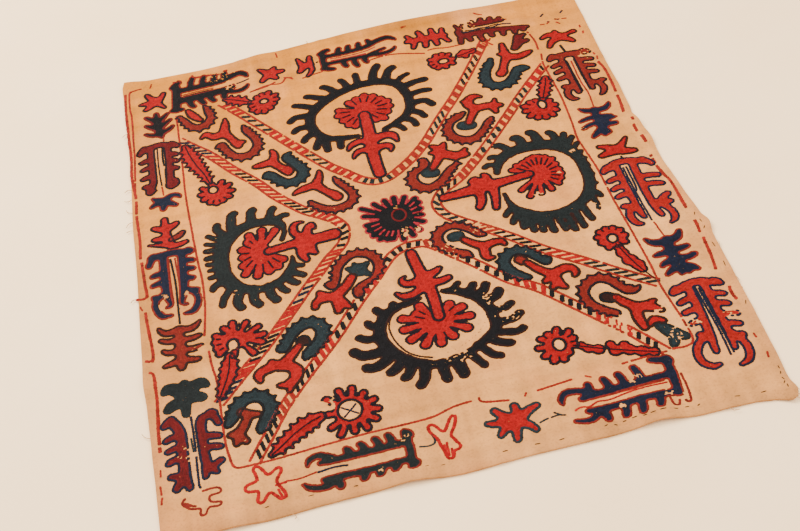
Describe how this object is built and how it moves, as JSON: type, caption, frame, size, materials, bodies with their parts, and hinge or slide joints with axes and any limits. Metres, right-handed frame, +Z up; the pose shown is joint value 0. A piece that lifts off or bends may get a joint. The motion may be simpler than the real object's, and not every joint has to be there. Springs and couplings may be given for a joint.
{
  "type": "suzani embroidered textile",
  "caption": "Nearly square cotton panel with a turned hem, chain-stitch embroidered all over with rosettes, toothed rings, hooks and combs, lying flat.",
  "frame": {"origin": "on the surface that the cloth lies on, under the middle of the panel", "axes": "+X along the near edge to the right, +Y along the sides to the far edge, +Z up out of the embroidered face"},
  "size_m": [0.6172, 0.7292, 0.0065],
  "materials": {
    "cotton": "hand-woven unbleached cotton, matt",
    "thread_red": "chain-stitched silk and wool thread, soft sheen",
    "thread_dark": "chain-stitched indigo and black thread, soft sheen"
  },
  "bodies": {
    "root": {"embroidered_cloth": "cotton"}
  },
  "joints": []
}
